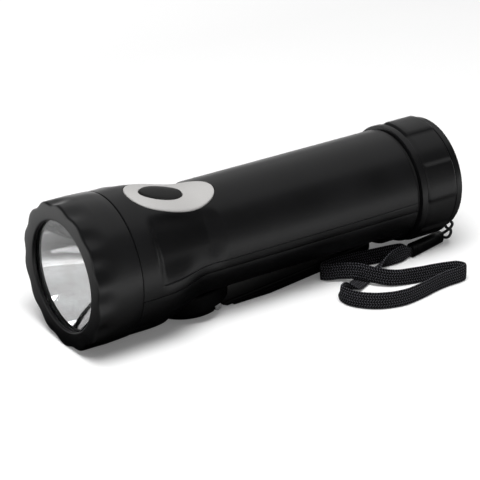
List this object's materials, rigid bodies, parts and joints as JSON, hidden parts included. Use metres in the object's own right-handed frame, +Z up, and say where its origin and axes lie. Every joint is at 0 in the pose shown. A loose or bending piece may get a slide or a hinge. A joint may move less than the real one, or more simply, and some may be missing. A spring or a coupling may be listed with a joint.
{
  "type": "dynamo flashlight",
  "caption": "Hand-cranked pocket torch with a folding winder stowed under the barrel, thumb switch on top and a wrist strap.",
  "frame": {"origin": "on the ground under the middle of the torch's bounding box, strap left out", "axes": "+Y from the lens to the tail along the barrel, +Z straight up from the folded arm it rests on, +X to the side the strap lies on; the switch stands 9 degrees from +Z towards +X"},
  "size_m": [0.0762, 0.1789, 0.058],
  "materials": {
    "head_bezel": "satin black",
    "lens": "clear polished plastic",
    "lens_seal": "soft black rubber",
    "reflector": "mirror plated",
    "led": "cast clear resin",
    "led_board": "green circuit board",
    "led_holder": "white nylon",
    "upper_shell": "satin black",
    "lower_shell": "satin black",
    "switch_plate": "silver paint",
    "switch_button": "dark grey rubber",
    "tactile_switch": "black",
    "control_board": "green circuit board",
    "board_screw_left": "zinc plated",
    "board_screw_right": "zinc plated",
    "gear_plate_lower": "stamped",
    "gear_plate_upper": "stamped",
    "gear_post_middle_left": "turned",
    "gear_post_middle_right": "turned",
    "gear_post_rear_left": "turned",
    "gear_post_rear_right": "turned",
    "generator_case": "zinc plated",
    "generator_coil": "enamelled copper wire",
    "rotor_magnet": "dark bonded ferrite",
    "rotor_shaft": "ground",
    "rotor_pinion": "cut",
    "battery": "plastic sleeved cell",
    "battery_holder": "white nylon",
    "battery_spring": "nickel plated",
    "tail_cap": "satin black",
    "tail_seal": "soft black rubber",
    "shaft_bush": "turned",
    "idler_axle_one": "ground",
    "idler_axle_two": "ground",
    "idler_gear_one": "white nylon",
    "idler_gear_two": "white nylon",
    "drive_gear": "white nylon",
    "crank_shaft": "ground",
    "crank_hub": "satin black",
    "hinge_pin": "bright",
    "crank_arm": "satin black",
    "knob_axle": "ground",
    "crank_knob": "satin black",
    "shell_screw_front_left": "black zinc",
    "shell_screw_front_right": "black zinc",
    "shell_screw_rear_left": "black zinc",
    "shell_screw_rear_right": "black zinc",
    "strap_string": "twisted nylon",
    "strap_sleeve": "black",
    "strap_tape": "woven tape",
    "led_lead": "insulated wire",
    "battery_lead": "insulated wire",
    "generator_lead": "insulated wire"
  },
  "bodies": {
    "torch": {"head_bezel": "head_bezel", "lens": "lens", "lens_seal": "lens_seal", "reflector": "reflector", "led": "led", "led_board": "led_board", "led_holder": "led_holder", "upper_shell": "upper_shell", "lower_shell": "lower_shell", "switch_plate": "switch_plate", "tactile_switch": "tactile_switch", "control_board": "control_board", "board_screw_left": "board_screw_left", "board_screw_right": "board_screw_right", "gear_plate_lower": "gear_plate_lower", "gear_plate_upper": "gear_plate_upper", "gear_post_middle_left": "gear_post_middle_left", "gear_post_middle_right": "gear_post_middle_right", "gear_post_rear_left": "gear_post_rear_left", "gear_post_rear_right": "gear_post_rear_right", "generator_case": "generator_case", "generator_coil": "generator_coil", "battery": "battery", "battery_holder": "battery_holder", "battery_spring": "battery_spring", "tail_cap": "tail_cap", "tail_seal": "tail_seal", "shaft_bush": "shaft_bush", "idler_axle_one": "idler_axle_one", "idler_axle_two": "idler_axle_two", "shell_screw_front_left": "shell_screw_front_left", "shell_screw_front_right": "shell_screw_front_right", "shell_screw_rear_left": "shell_screw_rear_left", "shell_screw_rear_right": "shell_screw_rear_right", "strap_string": "strap_string", "strap_sleeve": "strap_sleeve", "strap_tape": "strap_tape", "led_lead": "led_lead", "battery_lead": "battery_lead", "generator_lead": "generator_lead"},
    "button": {"switch_button": "switch_button"},
    "crank": {"crank_hub": "crank_hub", "crank_shaft": "crank_shaft", "drive_gear": "drive_gear", "hinge_pin": "hinge_pin"},
    "arm": {"crank_arm": "crank_arm", "knob_axle": "knob_axle"},
    "knob": {"crank_knob": "crank_knob"},
    "idler_one": {"idler_gear_one": "idler_gear_one"},
    "idler_two": {"idler_gear_two": "idler_gear_two"},
    "rotor": {"rotor_pinion": "rotor_pinion", "rotor_shaft": "rotor_shaft", "rotor_magnet": "rotor_magnet"}
  },
  "joints": [
    {"name": "button_press", "type": "slide", "parent": "torch", "child": "button", "axis": [-0.1564, 0, -0.9877], "range_m": [0, 0.001], "stiffness_N_per_m": 400},
    {"name": "crank_spin", "type": "hinge", "parent": "torch", "child": "crank", "pos_m": [0, -0.03185, 0.00118], "axis": [0, -0.0872, 0.9962], "continuous": true, "deforming": ["strap_tape"]},
    {"name": "crank_fold", "type": "hinge", "parent": "crank", "child": "arm", "pos_m": [0, -0.02249, 0.002], "axis": [-1, 0, 0], "range_deg": [0, 150]},
    {"name": "knob_spin", "type": "hinge", "parent": "arm", "child": "knob", "pos_m": [0, 0.04668, 0.00805], "axis": [0, -0.0872, 0.9962], "continuous": true},
    {"name": "idler_one_spin", "type": "hinge", "parent": "torch", "child": "idler_one", "pos_m": [0, -0.01181, 0.00293], "axis": [0, -0.0872, 0.9962], "continuous": true},
    {"name": "idler_two_spin", "type": "hinge", "parent": "torch", "child": "idler_two", "pos_m": [0, 0.00186, 0.00413], "axis": [0, -0.0872, 0.9962], "continuous": true},
    {"name": "rotor_spin", "type": "hinge", "parent": "torch", "child": "rotor", "pos_m": [0, 0.01553, 0.00533], "axis": [0, -0.0872, 0.9962], "continuous": true}
  ],
  "couplings": [
    {"joint": "idler_one_spin", "follows": "crank_spin", "ratio": -4},
    {"joint": "idler_two_spin", "follows": "crank_spin", "ratio": 9.6},
    {"joint": "rotor_spin", "follows": "crank_spin", "ratio": -23.04}
  ]
}
